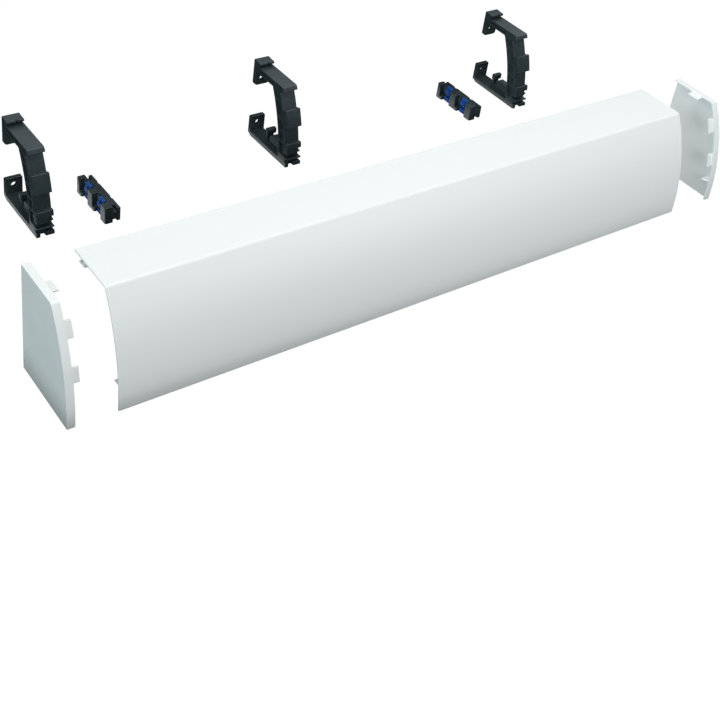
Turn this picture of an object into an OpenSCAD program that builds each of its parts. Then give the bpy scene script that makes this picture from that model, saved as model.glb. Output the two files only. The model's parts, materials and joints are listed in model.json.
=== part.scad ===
// Clip-on cable duct, laid out as an open kit on one surface: a curved cover, two end caps,
// three wall brackets and two twin clips with soft liners.
// +X runs along the duct, -Y is the room side, +Z is up. The origin is the middle of the
// layout on the surface that it stands on. All lengths are in millimetres.

/* [Cover] */
// Length of the cover
cover_length = 730; // [500:1:1200]
// Height of the cover above the floor
duct_height = 120; // [112:1:130]
// Depth from the wall to the furthest point of the front
duct_depth = 92; // [84:1:104]
// Outside radius of the curved front
front_radius = 225; // [200:1:280]
// Height of the centre of the front curve
front_centre_z = 5; // [0:0.5:12]
// Wall of the cover and of the cap rims
cover_wall = 2; // [1.5:0.1:2.5]
// Outside radius of the long crease between top and front
crease_radius = 4; // [3:0.5:8]
// Distance from the wall to the web of the hook rib
hook_web_back = 17.6; // [15:0.2:22]
// Thickness of the hook rib
hook_wall = 2.6; // [1.6:0.2:3.4]
// Depth of the hook rib below the top leg
hook_drop = 6; // [5:0.2:8]
// Reach of the hook foot from its web towards the wall
hook_foot_reach = 8.6; // [6:0.2:10]
// Thickness of the hook foot
hook_foot = 1.5; // [1.2:0.1:2.2]
// Height of the underside of the catch rib at its tip
catch_tip_z = 28.4; // [27:0.2:32]
// Thickness of the catch rib at its tip
catch_tip = 1.2; // [0.8:0.1:2]
// Reach of the catch rib from the front wall
catch_reach = 7.7; // [6:0.1:8.5]
// Height that the catch rib gains from its tip to its root
catch_rise = 1; // [0:0.2:2]
// Thickness of the catch rib at its root
catch_root = 2.8; // [2:0.2:4]

/* [End caps] */
// Depth of a cap along the duct, without its tabs
cap_depth = 8.2; // [6:0.2:14]
// Thickness of the end plate of a cap
cap_plate = 2; // [1.5:0.1:3]
// Reach of the cap tabs past the rim
tab_reach = 7; // [4:0.5:8]
// Thickness of the cap tabs
tab_wall = 1.8; // [1.2:0.1:2.4]
// Width of each long cap tab
tab_width = 15.5; // [10:0.5:18]
// Distance from the crease to the top tab
top_tab_offset = 16.5; // [10:0.5:18]
// Height of the middle of the upper front tab
upper_tab_z = 94.5; // [88:0.5:98]
// Height of the middle of the lower front tab
lower_tab_z = 53.5; // [48:0.5:62]
// Height of the underside of the toe ledge
toe_ledge_z = 24.4; // [20:0.2:25]
// Depth of the toe ledge behind the front
toe_ledge_depth = 9; // [6:0.5:14]
// Reach of the tip of the toe ledge past the rim
toe_ledge_reach = 4; // [2:0.5:6]

/* [Brackets] */
// Width of a bracket along the duct
bracket_width = 19.5; // [16:0.5:26]
// Height of a mounted bracket above the floor
bracket_lift = 15; // [12:0.5:17]
// Depth of the curved upright
upright_depth = 14.5; // [12:0.5:18]
// Height of the seat pads on the front of the upright
pad_height = 7.5; // [6:0.5:9]
// Thickness of the upright's front flange
front_flange = 3; // [2:0.5:4]
// Thickness of the upright's rear flange
rear_flange = 2.5; // [2:0.5:4]
// Thickness of the web between the flanges
web_width = 9; // [7:0.5:12]
// Depth of the top beam below its top face
beam_depth = 8.5; // [7:0.5:12]
// Height of the lip at the front of the top beam
lip_height = 5; // [3:0.5:6]
// Depth of the pockets in the sides of the upright and of the beam
side_pocket = 3; // [2:0.5:4]
// Thickness of the two wall tabs
wall_tab = 5.5; // [4.5:0.1:6.5]
// Height of the lower edge of the upper wall tab
upper_tab_bottom = 69.4; // [62:0.2:72]
// Height of the lower wall tab
lower_tab_top = 26; // [24:0.5:30]
// Corner radius of the upper wall tab
upper_tab_corner = 3.5; // [2:0.5:5]
// Corner radius of the lower wall tab
lower_tab_corner = 1.5; // [1:0.1:3]
// Diameter of the screw holes
screw_hole = 7; // [6:0.1:8.5]
// Height of the upper screw hole
upper_hole_z = 78; // [76:0.5:82]
// Height of the lower screw hole
lower_hole_z = 17; // [15:0.5:18]
// Thickness of the bottom arm
arm_thickness = 6; // [5:0.5:8]
// Length of the bottom arm
arm_length = 84; // [78:0.5:86]
// Free end of the nose that holds the hook rib, measured from the web of that rib
nose_gap = 4.2; // [2:0.2:6]
// Height of the step from the wall plate down to the nose
nose_step = 0.5; // [0.4:0.1:1.2]
// Width of the slot in the tip of the nose
nose_slot = 2; // [1:0.2:4]
// Height of the lower edge of the middle pad
pad_bottom = 51.5; // [46:0.5:56]
// Length of the middle pad
pad_length = 20.5; // [14:0.5:24]
// Width of the toe strip at the tip of the arm
toe_strip = 4.6; // [3:0.2:8]
// Height of the relief under the teeth
toe_relief = 2.5; // [1.5:0.1:3]
// Width of the bottom tooth
bottom_tooth_width = 10; // [7:0.5:12]
// Width of the notch under the stop block
stop_notch = 5; // [3:0.5:7]
// Distance from the wall to the hook on the arm
arm_hook_back = 32; // [28:0.5:36]
// Width of the head of the hook on the arm
arm_hook_width = 12.4; // [10:0.2:15]
// Height of the hook on the arm
arm_hook_top = 25; // [23:0.5:27]

/* [Clips] */
// Length of a clip
clip_length = 69.4; // [66:0.2:74]
// Width of a clip along the duct
clip_width = 18.2; // [17:0.2:20]
// Height of a clip
clip_height = 20.2; // [18:0.1:22]
// Length of the post at the rear end of a clip
rear_post = 6.6; // [5:0.2:8]
// Distance between the two saddles
saddle_pitch = 31; // [30:0.5:34]
// Width of a saddle
saddle_width = 20.4; // [18.4:0.2:22]
// Depth of a saddle into the clip
saddle_depth = 8; // [7.4:0.2:9]
// Wall between a saddle and the groove
saddle_wall = 1.4; // [1.2:0.1:2]
// Thickness of the rear bar
bar_width = 4; // [3:0.2:4.4]
// Height of the feet that run from the posts into the saddles
foot_height = 4.6; // [3:0.2:6]
// Width of a liner
liner_width = 11; // [9:0.5:13]
// Thickness of the upper pad and of the heel of a liner
liner_pad = 3.7; // [2.4:0.1:4]
// Thickness of the back of a liner between pad and heel
liner_back = 1; // [0.8:0.1:1.6]
// Reach of the finned rib of a liner from the pad
liner_rib_reach = 2.6; // [2:0.2:3]
// Thickness of the upright fin on that rib
liner_fin = 1.4; // [1:0.1:1.8]

/* [Layout] */
// Gap between the left cap and the cover
cap_gap_left = 42; // [20:1:80]
// Gap between the right cap and the cover
cap_gap_right = 58; // [20:1:80]
// Distance from the back of the cover to the back of the brackets
bracket_setback = 260.5; // [200:0.5:400]
// Distance that the middle bracket stands behind the other two
mid_setback = 5.4; // [0:0.2:40]
// Distance from the left end of the cover to the left bracket
bracket_inset_left = 41.8; // [20:0.2:120]
// Distance from the right end of the cover to the right bracket
bracket_inset_right = 0.6; // [0:0.2:60]
// Gap between the left bracket and the left clip
clip_gap_left = 55.1; // [30:0.1:120]
// Gap between the right bracket and the right clip
clip_gap_right = 57.8; // [30:0.1:120]
// Distance from the back of the brackets to the back end of the left clip
clip_back_left = 22.4; // [0:0.2:60]
// Distance from the back of the brackets to the back end of the right clip
clip_back_right = 14.9; // [0:0.1:60]

/* [Fits] */
// Clearance between a mounted bracket and the cover
fit_gap = 0.5; // [0.3:0.1:0.7]
// Clearance between the cap tabs and the inside of the cover
tab_gap = 0.4; // [0.3:0.1:0.6]
// Clearance between a liner and its saddle
liner_gap = 0.1; // [0.05:0.05:0.2]

/* [Hidden] */
$fn = 96;

// Overlap that joins neighbouring shapes of one piece, and the overrun of cuts
weld = 0.4;
overrun = 1;

// Layout
span_x = cap_depth + cap_gap_left + cover_length + cap_gap_right + cap_depth;
cover_x0 = -span_x / 2 + cap_depth + cap_gap_left;
cover_x1 = cover_x0 + cover_length;
cover_back_y = (duct_depth - bracket_setback - mid_setback) / 2;
bracket_back_y = cover_back_y + bracket_setback;
mid_back_y = bracket_back_y + mid_setback;
bracket_left_x = cover_x0 + bracket_inset_left;
bracket_mid_x = (cover_x0 + cover_x1 - bracket_width) / 2;
bracket_right_x = cover_x1 - bracket_inset_right - bracket_width;
clip_left_x = bracket_left_x + bracket_width + clip_gap_left;
clip_right_x = bracket_right_x - clip_gap_right - clip_width;

// Cover section, drawn with its back at y = 0
front_centre_y = front_radius - duct_depth;
inner_radius = front_radius - cover_wall;
leg_under_z = duct_height - cover_wall;
hook_foot_z = leg_under_z - hook_drop;
catch_root_z = catch_tip_z + catch_rise;
crease_y = front_y(front_radius, duct_height, front_centre_z);

// Bracket section, drawn with its back at y = 0 and its underside at z = 0
bracket_centre_z = front_centre_z - bracket_lift;
seat_radius = inner_radius - fit_gap;
flange_radius = seat_radius - pad_height;
upright_radius = flange_radius - upright_depth;
block_top = leg_under_z - fit_gap - bracket_lift;
plate_top = hook_foot_z - fit_gap - bracket_lift;
nose_under = hook_foot_z + hook_foot + fit_gap - bracket_lift;
block_depth = hook_web_back - hook_foot_reach - fit_gap;
nose_depth = hook_web_back - nose_gap;
beam_bottom = plate_top - beam_depth;
beam_flange = 2;
arm_bend = [7, 3];
nose_top = block_top - nose_step;
nose_round = 1;
nose_slot_x = 10.4;
nose_slot_depth = 1.5;
pocket_rise = 6;
pocket_floor = arm_thickness + pocket_rise;
stiffener = 2;
// Places of the stiffeners as shares of the height of the side pockets
stiffener_shares = [0.23, 0.4, 0.6, 0.88];

// Teeth around the catch rib, each as [lower edge, upper edge, radius, left side, right side]
tooth_height = 2;
tooth_setback = 2.5;
tooth_radius = seat_radius - tooth_setback;
stop_radius = tooth_radius + weld;
upper_tooth_z = catch_root_z + catch_root + fit_gap - bracket_lift;
lower_tooth_z = catch_tip_z - fit_gap - bracket_lift - tooth_height;
bottom_tooth_top = 7;
catch_groove = 2;
stop_block_gap = 4.8;
stop_block_height = 7;
stop_block_z = upper_tooth_z + tooth_height + stop_block_gap;
teeth = [
  [toe_relief, bottom_tooth_top, tooth_radius, bracket_width - bottom_tooth_width, bracket_width],
  [lower_tooth_z, lower_tooth_z + tooth_height, tooth_radius, 0, bracket_width],
  [upper_tooth_z, upper_tooth_z + tooth_height, tooth_radius - tooth_height, 0, bracket_width],
  [upper_tooth_z, stop_block_z + weld, stop_radius, 0, bracket_width - stop_notch],
  [stop_block_z, stop_block_z + stop_block_height, stop_radius, 0, bracket_width]
];

// Hook and gusset on the arm
arm_hook_stem = 3;
arm_hook_barb = 2;
arm_hook_head = 7;
gusset_setback = 8;
gusset_back = arm_hook_back + gusset_setback;
gusset_top = 20;
gusset_corner = 4;
gusset_foot = 4;
toe_back = 72;

// Clip section
clip_wall = saddle_depth + saddle_wall;
clip_corner = 2;
saddle_corner = 2;
groove_depth = 4;
bar_foot = 1.2;
bar_drop = 2.6;
bar_top = clip_height - bar_drop;
bar_notch = 5;
bar_notch_depth = 1;
end_notch = 8;
end_notch_depth = 4;
foot_corner = 2;
// The liner stands at the near end of its saddle, and the foot of the post behind it ends short of it
liner_side = 0.3;
foot_gap = 1.7;
foot_reach = saddle_width - saddle_corner - liner_side - liner_width - foot_gap;
liner_foot = 0.6;
liner_drop = 0.2;
rib_side = 1.5;
rib_base = 2;
rib_drop = 9;
fin_drop = 4;
heel_reach = 1.2;
heel_height = 5.6;

function front_y(radius, z, centre_z) =
  front_centre_y - sqrt(pow(radius, 2) - pow(z - centre_z, 2));

function saddle_y(i) = -rear_post - saddle_width / 2 - i * saddle_pitch;

function liner_y(i) = saddle_y(i) + (liner_width - saddle_width) / 2 + saddle_corner + liner_side;

// Extrudes a section, drawn as y and z, along the duct
module along_x(x, length) {
  translate([x, 0, 0])
    rotate([90, 0, 90])
      linear_extrude(length)
        children();
}

// Space inside a curved front of the given radius, between two heights
module front_zone(radius, z0, z1, centre_z, back = 0) {
  intersection() {
    translate([front_centre_y, centre_z])
      circle(radius);
    translate([-front_radius, z0])
      square([front_radius - back, z1 - z0]);
  }
}

// Section of the duct at a given depth below its outer surface, open past the wall and the floor by over
module duct_section(inset, over) {
  radius = front_radius - inset;
  top = duct_height - inset;
  corner = crease_radius - inset;
  corner_z = top - corner;
  corner_y = front_y(radius - corner, corner_z, front_centre_z);
  corner_centre = [corner_y, corner_z];
  up = [0, 2 * corner];
  out = 2 * corner / (radius - corner) * (corner_centre - [front_centre_y, front_centre_z]);
  difference() {
    front_zone(radius, -over, top, front_centre_z, -over);
    difference() {
      polygon([corner_centre, corner_centre + up, corner_centre + up + out, corner_centre + out]);
      translate(corner_centre)
        circle(corner);
    }
  }
}

module shell_section() {
  difference() {
    duct_section(0, 0);
    duct_section(cover_wall, overrun);
  }
}

// Hook rib under the top leg: a web with a foot that points to the wall
module hook_rib_section() {
  translate([-hook_web_back - hook_wall, hook_foot_z]) {
    square([hook_wall, hook_drop + weld]);
    square([hook_wall + hook_foot_reach, hook_foot]);
  }
}

// Catch rib behind the front: a sloping fin that drops behind the lower tooth of a bracket
module catch_rib_section() {
  tip_y = front_y(inner_radius, catch_tip_z, front_centre_z) + catch_reach;
  root_y = front_y(inner_radius, catch_root_z, front_centre_z) - weld;
  polygon([
    [tip_y, catch_tip_z],
    [tip_y, catch_tip_z + catch_tip],
    [root_y, catch_root_z + catch_root],
    [root_y, catch_root_z]
  ]);
}

module cover() {
  color("white")
    translate([cover_x0, cover_back_y, 0])
      along_x(0, cover_length) {
        shell_section();
        hook_rib_section();
        catch_rib_section();
      }
}

// One tab of a cap, behind the front between two heights
module front_tab_section(z, width, root) {
  outer = inner_radius - tab_gap + root;
  difference() {
    front_zone(outer, z - width / 2, z + width / 2, front_centre_z);
    translate([front_centre_y, front_centre_z])
      circle(inner_radius - tab_gap - tab_wall);
  }
}

// All tabs of a cap; root thickens them outwards until they join the rim
module tab_sections(root) {
  translate([crease_y + top_tab_offset, leg_under_z - tab_gap - tab_wall])
    square([tab_width, tab_wall + root]);
  front_tab_section(upper_tab_z, tab_width, root);
  front_tab_section(lower_tab_z, tab_width, root);
}

// Plan of the toe ledge, which runs out under the catch rib to a slanted tip
module toe_ledge_plan(root_x) {
  front = front_y(inner_radius, toe_ledge_z, front_centre_z);
  back = front + toe_ledge_depth;
  polygon([
    [root_x, front - weld],
    [0, front - weld],
    [0, front + tab_gap],
    [toe_ledge_reach, back],
    [root_x, back]
  ]);
}

// Left-hand cap with its joint face at x = 0
module end_cap() {
  root_x = -cap_depth + cap_plate - weld;
  along_x(-cap_depth, cap_plate)
    duct_section(0, 0);
  along_x(-cap_depth, cap_depth)
    shell_section();
  along_x(root_x, -root_x)
    tab_sections(tab_gap + weld);
  along_x(root_x, tab_reach - root_x)
    tab_sections(0);
  translate([0, 0, toe_ledge_z])
    linear_extrude(tab_wall)
      toe_ledge_plan(root_x);
}

module end_cap_left() {
  color("gainsboro")
    translate([cover_x0 - cap_gap_left, cover_back_y, 0])
      end_cap();
}

module end_cap_right() {
  color("gainsboro")
    translate([cover_x1 + cap_gap_right, cover_back_y, 0])
      mirror([1, 0, 0])
        end_cap();
}

// Groove behind the teeth that takes the tip of the catch rib
module catch_groove_section() {
  groove_z = lower_tooth_z + tooth_height;
  difference() {
    front_zone(front_radius, groove_z, upper_tooth_z, bracket_centre_z);
    translate([front_centre_y, bracket_centre_z])
      circle(flange_radius - catch_groove);
  }
}

// Raised band on the front of the upright, between two heights, with ends square to the curve
module front_band(radius, z0, z1) {
  centre = [front_centre_y, bracket_centre_z];
  low = [front_y(radius, z0, bracket_centre_z), z0];
  high = [front_y(radius, z1, bracket_centre_z), z1];
  past = 1.2;
  intersection() {
    difference() {
      translate(centre)
        circle(radius);
      translate(centre)
        circle(flange_radius - weld);
    }
    polygon([centre, centre + past * (low - centre), centre + past * (high - centre)]);
  }
}

// Lip at the front of the beam, flat on top
module lip_section() {
  intersection() {
    front_band(seat_radius, plate_top - lip_height, plate_top + lip_height);
    translate([-front_radius, 0])
      square([front_radius, plate_top]);
  }
}

// Upright and top beam in one section, with the lip and the pad
module upright_section() {
  difference() {
    front_zone(flange_radius, toe_relief, plate_top, bracket_centre_z);
    front_zone(upright_radius, -overrun, beam_bottom, bracket_centre_z, -overrun);
    catch_groove_section();
  }
  lip_section();
  front_band(seat_radius, pad_bottom, pad_bottom + pad_length);
}

// Block at the back of the beam, with the nose that reaches over the hook foot
module nose_section() {
  translate([-block_depth, plate_top - weld])
    square([block_depth, nose_top - plate_top + weld]);
  translate([-nose_depth, nose_under])
    square([nose_depth, nose_top - nose_round - nose_under]);
  translate([nose_round - nose_depth, nose_under])
    square([nose_depth - nose_round, nose_top - nose_under]);
  translate([nose_round - nose_depth, nose_top - nose_round])
    circle(nose_round);
}

// Bottom arm with its slanted bend at the wall
module arm_section() {
  polygon([
    [0, arm_bend[1]],
    [0, arm_thickness],
    [-toe_back, arm_thickness],
    [-toe_back, 0],
    [-arm_bend[0], 0]
  ]);
}

// Gusset between the arm and the upright, round at its back corner
module gusset_section() {
  gusset_front = weld - front_y(upright_radius, gusset_top, bracket_centre_z);
  translate([-gusset_front, arm_thickness - weld]) {
    square([gusset_front - gusset_back, gusset_top - gusset_corner - arm_thickness + weld]);
    square([gusset_front - gusset_back - gusset_corner, gusset_top - arm_thickness + weld]);
    square([gusset_front - arm_hook_back, gusset_foot + weld]);
  }
  translate([-gusset_back - gusset_corner, gusset_top - gusset_corner])
    circle(gusset_corner);
}

// Hook on the arm: a post with a barbed head
module arm_hook() {
  head_z = arm_hook_top - arm_hook_head;
  along_x((bracket_width - web_width) / 2, web_width)
    translate([-arm_hook_back - arm_hook_stem, arm_thickness - weld])
      square([arm_hook_stem, head_z - arm_thickness + 2 * weld]);
  along_x((bracket_width - arm_hook_width) / 2, arm_hook_width)
    translate([-arm_hook_back - arm_hook_stem - arm_hook_barb, head_z])
      square([arm_hook_stem + arm_hook_barb, arm_hook_head]);
}

// Plate against the wall from z0 to z1, with round corners at one end only
module wall_plate(z0, z1, corner, round_top) {
  round_z = round_top ? z1 - corner : z0 + corner;
  square_z = round_top ? z0 : round_z;
  rotate([90, 0, 0])
    linear_extrude(wall_tab) {
      translate([0, square_z])
        square([bracket_width, z1 - z0 - corner]);
      translate([corner, z0])
        square([bracket_width - 2 * corner, z1 - z0]);
      for (x = [corner, bracket_width - corner])
        translate([x, round_z])
          circle(corner);
    }
}

// Pockets in the side of the upright and of the beam
module pocket_sections() {
  rear = upright_radius + rear_flange;
  front = flange_radius - front_flange;
  ceiling = beam_bottom - beam_flange;
  height = ceiling - pocket_floor;
  edges = [for (share = concat(0, stiffener_shares, 1)) pocket_floor + share * height];
  for (i = [0 : len(stiffener_shares)])
    difference() {
      front_zone(front, edges[i] + stiffener / 2, edges[i + 1] - stiffener / 2, bracket_centre_z);
      translate([front_centre_y, bracket_centre_z])
        circle(rear);
    }
  beam_front = front_y(upright_radius, beam_bottom, bracket_centre_z);
  translate([beam_front, beam_bottom + beam_flange])
    square([-nose_depth - beam_front, beam_depth - beam_flange - front_flange]);
}

// One bracket, its back at y = 0 and its left side at x = 0
module bracket() {
  difference() {
    union() {
      along_x(0, bracket_width) {
        upright_section();
        nose_section();
        arm_section();
      }
      for (tooth = teeth)
        along_x(tooth[3], tooth[4] - tooth[3])
          front_band(tooth[2], tooth[0], tooth[1]);
      translate([0, -arm_length, 0])
        cube([toe_strip, arm_length - toe_back + weld, arm_thickness]);
      wall_plate(upper_tab_bottom, block_top, upper_tab_corner, false);
      wall_plate(arm_bend[1], lower_tab_top, lower_tab_corner, true);
      along_x((bracket_width - web_width) / 2, web_width)
        gusset_section();
      arm_hook();
    }
    for (x = [-overrun, bracket_width - side_pocket])
      along_x(x, side_pocket + overrun)
        pocket_sections();
    translate([nose_slot_x, -nose_depth - overrun, nose_under - weld])
      cube([nose_slot, nose_slot_depth + overrun, block_top - nose_under + overrun]);
    for (z = [upper_hole_z, lower_hole_z])
      translate([bracket_width / 2, overrun, z])
        rotate([90, 0, 0])
          cylinder(d = screw_hole, h = wall_tab + 2 * overrun);
  }
}

module bracket_left() {
  color("dimgray")
    translate([bracket_left_x, bracket_back_y, 0])
      bracket();
}

module bracket_mid() {
  color("dimgray")
    translate([bracket_mid_x, mid_back_y, 0])
      bracket();
}

module bracket_right() {
  color("dimgray")
    translate([bracket_right_x, bracket_back_y, 0])
      bracket();
}

// Plan of a slab from y = 0 towards the near end, round at its two corners at x = 0
module slab_plan(width, length, corner) {
  translate([corner, -length])
    square([width - corner, length]);
  translate([0, corner - length])
    square([width, length - 2 * corner]);
  for (y = [-corner, corner - length])
    translate([corner, y])
      circle(corner);
}

// Plan of one saddle around its middle, open at the side and round inside
module saddle_plan() {
  round_x = saddle_depth - saddle_corner;
  round_y = saddle_width / 2 - saddle_corner;
  translate([-overrun, -saddle_width / 2])
    square([round_x + overrun, saddle_width]);
  translate([0, -round_y])
    square([saddle_depth, 2 * round_y]);
  for (y = [-round_y, round_y])
    translate([round_x, y])
      circle(saddle_corner);
}

// Low foot that runs from the post behind a saddle into it, round at its free corner
module foot() {
  post_y = saddle_width / 2;
  linear_extrude(foot_height) {
    translate([0, post_y - foot_reach + foot_corner])
      square([saddle_depth + weld, foot_reach - foot_corner + weld]);
    translate([foot_corner, post_y - foot_reach])
      square([saddle_depth - foot_corner + weld, foot_reach]);
    translate([foot_corner, post_y - foot_reach + foot_corner])
      circle(foot_corner);
  }
}

// Saddle wall, feet, rear bar and the web that joins them
module clip() {
  difference() {
    linear_extrude(clip_height)
      slab_plan(clip_wall, clip_length, clip_corner);
    for (i = [0, 1])
      translate([0, saddle_y(i), -overrun])
        linear_extrude(clip_height + 2 * overrun)
          saddle_plan();
  }
  for (i = [0, 1])
    translate([0, saddle_y(i), 0])
      foot();
  web = clip_width - clip_wall - bar_width + 2 * weld;
  translate([clip_wall - weld, -clip_length, groove_depth])
    cube([web, clip_length, bar_top - end_notch_depth - groove_depth]);
  translate([clip_wall - weld, end_notch - clip_length, groove_depth])
    cube([web, clip_length - 2 * end_notch, bar_top - groove_depth]);
  difference() {
    translate([clip_width - bar_width, -clip_length, bar_foot])
      cube([bar_width, clip_length, bar_top - bar_foot]);
    for (i = [0, 1])
      translate([clip_width - bar_width - overrun, saddle_y(i) - bar_notch / 2, bar_top - bar_notch_depth])
        cube([bar_width + 2 * overrun, bar_notch, bar_notch_depth + overrun]);
  }
}

// Block of a liner between two distances from the wall of the saddle and between two heights
module liner_block(near, far, width, z0, z1) {
  translate([-far, -width / 2, z0])
    cube([far - near, width, z1 - z0]);
}

// Soft liner of one saddle: a thin back with a heel at the floor, a pad at the top and a finned rib
module liner(i) {
  rib_width = liner_width - 2 * rib_side;
  rib_z = clip_height - rib_drop;
  top = clip_height - liner_drop;
  rib_end = liner_pad + liner_rib_reach;
  translate([saddle_depth - liner_gap, liner_y(i), 0]) {
    liner_block(0, liner_back, liner_width, liner_foot, top);
    liner_block(0, liner_pad + heel_reach, liner_width, liner_foot, liner_foot + heel_height);
    liner_block(0, liner_pad, liner_width, rib_z, top);
    liner_block(liner_pad - weld, rib_end, rib_width, rib_z, rib_z + rib_base);
    liner_block(rib_end - liner_fin, rib_end, rib_width, rib_z, clip_height - fin_drop);
  }
}

module at_left_clip() {
  translate([clip_left_x, bracket_back_y - clip_back_left, 0])
    children();
}

module at_right_clip() {
  translate([clip_right_x, bracket_back_y - clip_back_right, 0])
    children();
}

module clip_left() {
  color("dimgray")
    at_left_clip()
      clip();
}

module liner_left_rear() {
  color("dodgerblue")
    at_left_clip()
      liner(0);
}

module liner_left_front() {
  color("dodgerblue")
    at_left_clip()
      liner(1);
}

module clip_right() {
  color("dimgray")
    at_right_clip()
      clip();
}

module liner_right_rear() {
  color("dodgerblue")
    at_right_clip()
      liner(0);
}

module liner_right_front() {
  color("dodgerblue")
    at_right_clip()
      liner(1);
}

cover();
end_cap_left();
end_cap_right();
bracket_left();
bracket_mid();
bracket_right();
clip_left();
liner_left_rear();
liner_left_front();
clip_right();
liner_right_rear();
liner_right_front();
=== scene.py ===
import json
import math
import bmesh
import bpy
from mathutils import Matrix, Vector


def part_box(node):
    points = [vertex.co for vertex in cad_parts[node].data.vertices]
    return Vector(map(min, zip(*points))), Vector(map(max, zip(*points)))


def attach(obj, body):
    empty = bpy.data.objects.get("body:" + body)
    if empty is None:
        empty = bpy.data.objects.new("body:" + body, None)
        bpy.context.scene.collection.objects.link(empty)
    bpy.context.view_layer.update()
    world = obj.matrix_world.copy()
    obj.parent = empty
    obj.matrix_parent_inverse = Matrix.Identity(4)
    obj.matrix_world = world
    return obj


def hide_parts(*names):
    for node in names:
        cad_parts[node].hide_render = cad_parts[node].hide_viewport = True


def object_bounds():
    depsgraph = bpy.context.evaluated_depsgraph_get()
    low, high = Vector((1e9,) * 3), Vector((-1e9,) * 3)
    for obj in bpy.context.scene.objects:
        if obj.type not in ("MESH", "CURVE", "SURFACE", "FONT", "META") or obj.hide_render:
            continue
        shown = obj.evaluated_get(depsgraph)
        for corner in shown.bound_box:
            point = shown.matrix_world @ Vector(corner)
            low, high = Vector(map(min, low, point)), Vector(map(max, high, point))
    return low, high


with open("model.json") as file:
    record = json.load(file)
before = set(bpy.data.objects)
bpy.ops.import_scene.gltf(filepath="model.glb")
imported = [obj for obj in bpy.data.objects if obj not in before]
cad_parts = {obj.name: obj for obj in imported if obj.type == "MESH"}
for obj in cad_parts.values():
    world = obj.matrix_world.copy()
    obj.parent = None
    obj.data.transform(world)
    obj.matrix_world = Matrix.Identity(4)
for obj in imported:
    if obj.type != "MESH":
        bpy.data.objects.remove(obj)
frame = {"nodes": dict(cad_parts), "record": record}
cad_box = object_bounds()
scene = bpy.context.scene
scene.view_settings.view_transform = "Standard"
MM = 0.001

# Camera at the photograph's place, for a square image
CAMERA_AT = Vector((-0.77830, -0.93234, 0.82372))
CAMERA_RIGHT = Vector((0.81190, -0.57082, 0.12238))
CAMERA_UP = Vector((0.24607, 0.52472, 0.81494))
CAMERA_BACK = Vector((-0.52940, -0.63153, 0.56648))
CAMERA_SENSOR = 36
CAMERA_LENS = 64.634
CAMERA_SHIFT = (0.0218, -0.2018)
camera_data = bpy.data.cameras.new("camera")
camera_data.sensor_width = CAMERA_SENSOR
camera_data.lens = CAMERA_LENS
camera_data.shift_x, camera_data.shift_y = CAMERA_SHIFT
camera = bpy.data.objects.new("camera", camera_data)
turn = Matrix((CAMERA_RIGHT, CAMERA_UP, CAMERA_BACK)).transposed()
camera.matrix_world = Matrix.Translation(CAMERA_AT) @ turn.to_4x4()
scene.collection.objects.link(camera)
scene.camera = camera

# Stage: a white floor that only the camera sees, and over it a dark one for bounced light and gloss
FLOOR_HALF = 6.0
LAYER = 0.25 * MM
FLOOR_Z = -3 * LAYER
BOUNCE_Z = -2 * LAYER
CARD_Z = -LAYER
CARD_WHITE = (0.9, 0.9, 0.9)
CLOTH_BLACK = (0.01, 0.01, 0.01)
BOUNCE_GREY = (0.08, 0.09, 0.09)
CARD_ROUGHNESS = 0.9
WHITE_GLOW = 1.0
GLINT_GLOW = 6.0


def stage_material(name, color, glow=0.0):
    """A matte finish for the studio's cards. One that glows isn't sampled as a lamp."""
    mat = bpy.data.materials.new(name)
    mat.use_nodes = True
    shader = mat.node_tree.nodes["Principled BSDF"]
    shader.inputs["Base Color"].default_value = (*color, 1)
    shader.inputs["Roughness"].default_value = CARD_ROUGHNESS
    shader.inputs["Specular IOR Level"].default_value = 0.0
    shader.inputs["Emission Color"].default_value = (1, 1, 1, 1)
    shader.inputs["Emission Strength"].default_value = glow
    mat.cycles.emission_sampling = "NONE"
    return mat


def stage_card(name, corners, material, camera=False, diffuse=False, glossy=True):
    """A flat card that belongs to the studio, seen only by the kinds of ray that are named."""
    mesh = bpy.data.meshes.new(name)
    mesh.from_pydata(corners, [], [(0, 1, 2, 3)])
    mesh.materials.append(material)
    obj = bpy.data.objects.new(name, mesh)
    obj.visible_camera = camera
    obj.visible_diffuse = diffuse
    obj.visible_glossy = glossy
    obj.visible_shadow = diffuse
    scene.collection.objects.link(obj)


def flat(x0, x1, y0, y1, z):
    """The corners of a card that lies level."""
    return [(x0, y0, z), (x1, y0, z), (x1, y1, z), (x0, y1, z)]


def upright(start, end):
    """The corners of a card that stands on z = 0, from one x, y and top to another."""
    (x0, y0, top0), (x1, y1, top1) = start, end
    return [(x0, y0, 0), (x1, y1, 0), (x1, y1, top1), (x0, y0, top0)]


GLOW_WHITE = stage_material("glow_white", CARD_WHITE, WHITE_GLOW)
DARK_CLOTH = stage_material("dark_cloth", CLOTH_BLACK)
BOUNCE = stage_material("bounce_grey", BOUNCE_GREY)
GLINT = stage_material("glint", CARD_WHITE, GLINT_GLOW)
wide = (-FLOOR_HALF, FLOOR_HALF)
stage_card("floor", flat(*wide, *wide, FLOOR_Z), GLOW_WHITE, camera=True, glossy=False)
stage_card("bounce", flat(*wide, *wide, BOUNCE_Z), BOUNCE, diffuse=True)

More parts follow.
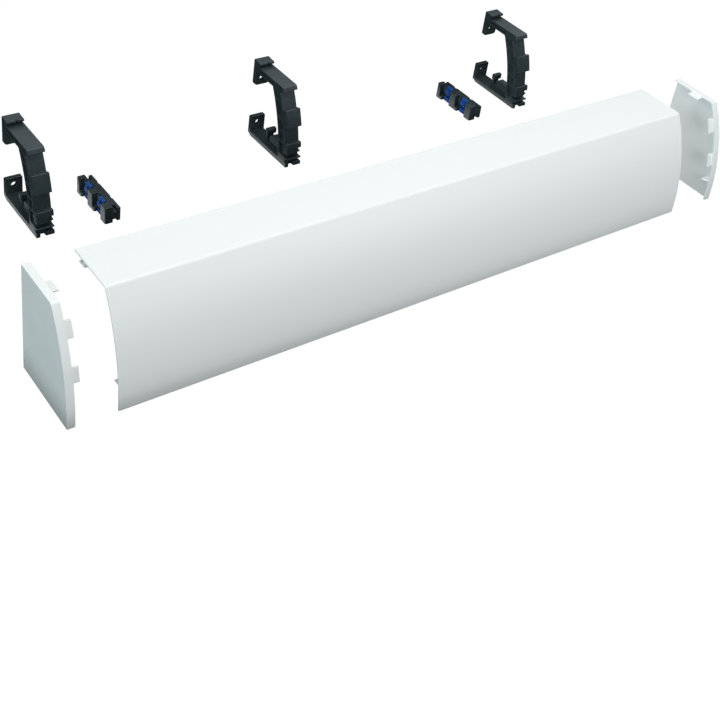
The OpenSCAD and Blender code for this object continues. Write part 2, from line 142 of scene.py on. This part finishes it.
SKIRT_TOP_CORNER = 42 * MM
SKIRT_TOP_END = 26 * MM
SKIRT_GAP = 100 * MM
kit_low, kit_high = cad_box
skirt_x = kit_low[0] - SKIRT_GAP
skirt_y = kit_low[1] - SKIRT_GAP
skirt_corner = (skirt_x, skirt_y, SKIRT_TOP_CORNER)
skirt_ends = {
    "front_skirt": (kit_high[0] + SKIRT_GAP, skirt_y, SKIRT_TOP_END),
    "left_skirt": (skirt_x, kit_high[1], SKIRT_TOP_END),
}
for name, end in skirt_ends.items():
    stage_card(name, upright(skirt_corner, end), DARK_CLOTH, diffuse=True, glossy=False)

# Seen in the gloss only: a dark flag behind the brackets, and white cards beside the black pieces
FLAG_TOP = 118 * MM
FLAG_GAP = 23 * MM
CARD_GAP = 0.25 * MM
CARD_REACH = {"bracket": 7 * MM, "clip": 18 * MM}
flag_y = kit_high[1] + FLAG_GAP
flag = upright((kit_low[0], flag_y, FLAG_TOP), (kit_high[0], flag_y, FLAG_TOP))
stage_card("flag", flag, DARK_CLOTH)
for node in frame["nodes"]:
    reach = CARD_REACH.get(node.split("_")[0])
    if reach:
        (x0, y0, _), (_, y1, _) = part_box(node)
        corners = flat(x0 - reach, x0 - CARD_GAP, y0, y1 + reach, CARD_Z)
        stage_card("card_" + node, corners, GLOW_WHITE)

# Small bright cards, high and to the right of each bracket's front, that glint on its upper front edges
GLINT_AT = Vector((64, -2, 85)) * MM
GLINT_WIDE = Vector((25, 0, 0)) * MM
GLINT_TALL = Vector((0, 28, 10)) * MM
GLINT_CORNERS = ((-1, -1), (1, -1), (1, 1), (-1, 1))
for node in frame["nodes"]:
    if node.startswith("bracket"):
        (x0, y0, _), (x1, _, z1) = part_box(node)
        middle = Vector(((x0 + x1) / 2, y0, z1)) + GLINT_AT
        corners = [middle + a * GLINT_WIDE + b * GLINT_TALL for a, b in GLINT_CORNERS]
        stage_card("glint_" + node, corners, GLINT)

# Light: a dome that is bright behind the object, a box overhead, far fills at the front and the left,
# a near box for the right half of the front, and a small one behind the duct for the right end cap
DOME_FRONT = (0.13, 0.15, 0.16)
DOME_BACK = (0.92, 1.00, 1.03)
WARM_LIGHT = (1.0, 0.92, 0.89)
DAYLIGHT = (0.97, 1.0, 1.0)
CAP_LIGHT = (0.93, 1.0, 1.0)
SKY_LIGHT = (0.74, 1.0, 1.04)
KIT_MIDDLE = (0.0, -0.1, 0.05)
FILL_SIZE = 2.5


def studio_dome():
    """A world whose brightness rises evenly from the front to the back."""
    world = bpy.data.worlds.new("studio")
    scene.world = world
    world.use_nodes = True
    nodes = world.node_tree.nodes
    links = world.node_tree.links
    place = nodes.new("ShaderNodeTexCoord")
    split = nodes.new("ShaderNodeSeparateXYZ")
    share = nodes.new("ShaderNodeMapRange")
    share.inputs["From Min"].default_value = -1
    shade = nodes.new("ShaderNodeValToRGB")
    shade.color_ramp.elements[0].color = (*DOME_FRONT, 1)
    shade.color_ramp.elements[1].color = (*DOME_BACK, 1)
    links.new(place.outputs["Generated"], split.inputs["Vector"])
    links.new(split.outputs["Y"], share.inputs["Value"])
    links.new(share.outputs["Result"], shade.inputs["Fac"])
    links.new(shade.outputs["Color"], nodes["Background"].inputs["Color"])


def soft_box(name, at, aim, size, power, color, glossy=True):
    """A square lamp that the camera doesn't see, and that shows in the gloss where glossy says so."""
    data = bpy.data.lights.new(name, "AREA")
    data.shape = "SQUARE"
    data.size = size
    data.energy = power
    data.color = color
    light = bpy.data.objects.new(name, data)
    light.location = at
    light.rotation_mode = "QUATERNION"
    light.rotation_quaternion = (Vector(aim) - Vector(at)).to_track_quat("-Z", "X")
    light.visible_camera = False
    light.visible_glossy = glossy
    scene.collection.objects.link(light)


studio_dome()
soft_box(
    "top_box", at=(-0.05, -0.1, 1.6), aim=(-0.05, -0.1, 0.0),
    size=1.0, power=9.2, color=WARM_LIGHT,
)
soft_box(
    "front_fill", at=(-1.5, -5.6, 2.5), aim=KIT_MIDDLE,
    size=FILL_SIZE, power=154, color=DAYLIGHT, glossy=False,
)
soft_box(
    "left_fill", at=(-5.7, -1.1, 1.6), aim=KIT_MIDDLE,
    size=FILL_SIZE, power=88, color=SKY_LIGHT,
)
soft_box(
    "front_box", at=(0.36, -1.0, 0.35), aim=(0.22, -0.15, 0.05),
    size=0.5, power=1.45, color=DAYLIGHT,
)
soft_box(
    "right_end_box", at=(0.20, 0.03, 0.075), aim=(0.41, -0.125, 0.06),
    size=0.08, power=0.16, color=CAP_LIGHT,
)

# Materials: a noise for the drift in tone, and a finer one for the gloss and the grain
NOISE_LOW = 0.3
NOISE_HIGH = 0.7
TONE_DETAIL = 3
GRAIN_DETAIL = 4
GRAIN_STRENGTH = 0.4
EVEN = (1, 1, 1)


def noise(mat, scale, detail, stretch):
    """A noise texture in the object's own metres, with about scale grains to the metre."""
    nodes = mat.node_tree.nodes
    links = mat.node_tree.links
    place = nodes.new("ShaderNodeTexCoord")
    mapping = nodes.new("ShaderNodeMapping")
    texture = nodes.new("ShaderNodeTexNoise")
    mapping.inputs["Scale"].default_value = stretch
    texture.inputs["Scale"].default_value = scale
    texture.inputs["Detail"].default_value = detail
    links.new(place.outputs["Object"], mapping.inputs["Vector"])
    links.new(mapping.outputs["Vector"], texture.inputs["Vector"])
    return texture.outputs["Fac"]


def ramp(mat, source, low, high):
    """Turns a noise value into a colour between low and high."""
    node = mat.node_tree.nodes.new("ShaderNodeValToRGB")
    node.color_ramp.elements[0].color = (*low, 1)
    node.color_ramp.elements[1].color = (*high, 1)
    node.color_ramp.elements[0].position = NOISE_LOW
    node.color_ramp.elements[1].position = NOISE_HIGH
    mat.node_tree.links.new(source, node.inputs["Fac"])
    return node.outputs["Color"]


def spread(mat, source, low, high):
    """Turns a noise value into a number between low and high."""
    node = mat.node_tree.nodes.new("ShaderNodeMapRange")
    node.inputs["From Min"].default_value = NOISE_LOW
    node.inputs["From Max"].default_value = NOISE_HIGH
    node.inputs["To Min"].default_value = low
    node.inputs["To Max"].default_value = high
    mat.node_tree.links.new(source, node.inputs["Value"])
    return node.outputs["Result"]


def bump(mat, source, height):
    """Turns a noise value into a grain of that height."""
    node = mat.node_tree.nodes.new("ShaderNodeBump")
    node.inputs["Distance"].default_value = height
    node.inputs["Strength"].default_value = GRAIN_STRENGTH
    mat.node_tree.links.new(source, node.inputs["Height"])
    return node.outputs["Normal"]


def surface(name, low, high, tone_scale, gloss, grain_scale, grain_height, stretch=EVEN, shine=0.5):
    """A plastic or rubber finish: a soft drift in tone, a drift in gloss and a fine grain."""
    mat = bpy.data.materials.new(name)
    mat.use_nodes = True
    shader = mat.node_tree.nodes["Principled BSDF"]
    links = mat.node_tree.links
    tone = noise(mat, tone_scale, TONE_DETAIL, stretch)
    grain = noise(mat, grain_scale, GRAIN_DETAIL, stretch)
    shader.inputs["Specular IOR Level"].default_value = shine
    links.new(ramp(mat, tone, low, high), shader.inputs["Base Color"])
    links.new(spread(mat, grain, *gloss), shader.inputs["Roughness"])
    links.new(bump(mat, grain, grain_height), shader.inputs["Normal"])
    return mat


WHITE_LOW = (0.80, 0.805, 0.80)
WHITE_HIGH = (0.84, 0.845, 0.84)
ALONG_DUCT = (0.02, 1, 1)
EXTRUDED_WHITE = surface(
    "white_extruded", WHITE_LOW, WHITE_HIGH, tone_scale=9,
    gloss=(0.34, 0.46), grain_scale=320, grain_height=0.02 * MM, stretch=ALONG_DUCT,
)
MOULDED_WHITE = surface(
    "white_moulded", WHITE_LOW, WHITE_HIGH, tone_scale=30,
    gloss=(0.40, 0.52), grain_scale=1500, grain_height=0.02 * MM,
)
MOULDED_BLACK = surface(
    "black_moulded", (0.016, 0.025, 0.028), (0.022, 0.033, 0.037), tone_scale=60,
    gloss=(0.38, 0.50), grain_scale=1800, grain_height=0.012 * MM,
)
SOFT_BLUE = surface(
    "blue_soft", (0.002, 0.052, 0.24), (0.004, 0.072, 0.32), tone_scale=220,
    gloss=(0.5, 0.66), grain_scale=2600, grain_height=0.03 * MM, shine=0.3,
)

# How each kind of node becomes a piece: its material, the round of its hard edges and that of its
# brows, which are edges along X between a face that looks up and one that looks to the front
HARD_ROUND = 0.4 * MM
SOFT_ROUND = 0.5 * MM
BROW_ROUND = 1.2 * MM
NO_BROW = 0.0
FINISHES = {
    "cover": (EXTRUDED_WHITE, HARD_ROUND, NO_BROW),
    "end_cap": (MOULDED_WHITE, HARD_ROUND, NO_BROW),
    "bracket": (MOULDED_BLACK, HARD_ROUND, BROW_ROUND),
    "clip": (MOULDED_BLACK, HARD_ROUND, NO_BROW),
    "liner": (SOFT_BLUE, SOFT_ROUND, NO_BROW),
}
EDGE_STEPS = 3
BROW_STEPS = 6
ARC_PROFILE = 0.5

# Points closer than WELD and faces flatter than FLAT are joined. Edges over HARD are rounded,
# and those that are still over SHARP are shaded as sharp
WELD = 0.002 * MM
FLAT = math.radians(0.4)
HARD = math.radians(25)
SHARP = math.radians(40)

# What makes an edge a brow: how far it runs along X, how far its faces look up and to the front,
# and how wide they are, counted in rounds
BROW_ALONG = 0.99
BROW_UP = 0.8
BROW_FRONT = 0.6
BROW_ROOM = 1.5


def is_brow(edge, room):
    """Whether an edge is a brow with faces wide enough for its round."""
    run = edge.verts[1].co - edge.verts[0].co
    front, top = sorted(edge.link_faces, key=lambda face: face.normal.z)
    along = abs(run.x) > BROW_ALONG * run.length
    roomy = min(front.calc_area(), top.calc_area()) > room * run.length
    looks = top.normal.z > BROW_UP and front.normal.y < -BROW_FRONT
    return edge.is_convex and along and roomy and looks


def soften(solid, edges, radius, steps):
    """Rounds these edges of a solid."""
    bmesh.ops.bevel(
        solid, geom=edges, offset=radius, offset_type="OFFSET", segments=steps, profile=ARC_PROFILE,
        affect="EDGES", clamp_overlap=False,
    )


def moulded(node, edge, brow):
    """A copy of a node's solid, with its flat faces joined and its brows and hard edges rounded."""
    solid = bmesh.new()
    solid.from_mesh(frame["nodes"][node].data)
    bmesh.ops.remove_doubles(solid, verts=solid.verts, dist=WELD)
    bmesh.ops.dissolve_limit(solid, angle_limit=FLAT, verts=solid.verts, edges=solid.edges)
    if brow:
        soften(solid, [e for e in solid.edges if is_brow(e, BROW_ROOM * brow)], brow, BROW_STEPS)
    soften(solid, [e for e in solid.edges if e.calc_face_angle() > HARD], edge, EDGE_STEPS)
    mesh = bpy.data.meshes.new(node + "_piece")
    solid.to_mesh(mesh)
    solid.free()
    mesh.shade_smooth()
    mesh.set_sharp_from_angle(angle=SHARP)
    obj = bpy.data.objects.new(node + "_piece", mesh)
    scene.collection.objects.link(obj)
    obj.modifiers.new("normals", "WEIGHTED_NORMAL").keep_sharp = True
    return obj


BODIES = frame["record"]["behaviour"]["bodies"]
for part in frame["record"]["subparts"]:
    node = part["node"]
    kind = next(k for k in FINISHES if node.startswith(k))
    material, edge, brow = FINISHES[kind]
    piece = moulded(node, edge, brow)
    piece.data.materials.append(material)
    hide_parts(node)
    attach(piece, next(body for body, members in BODIES.items() if node in members))
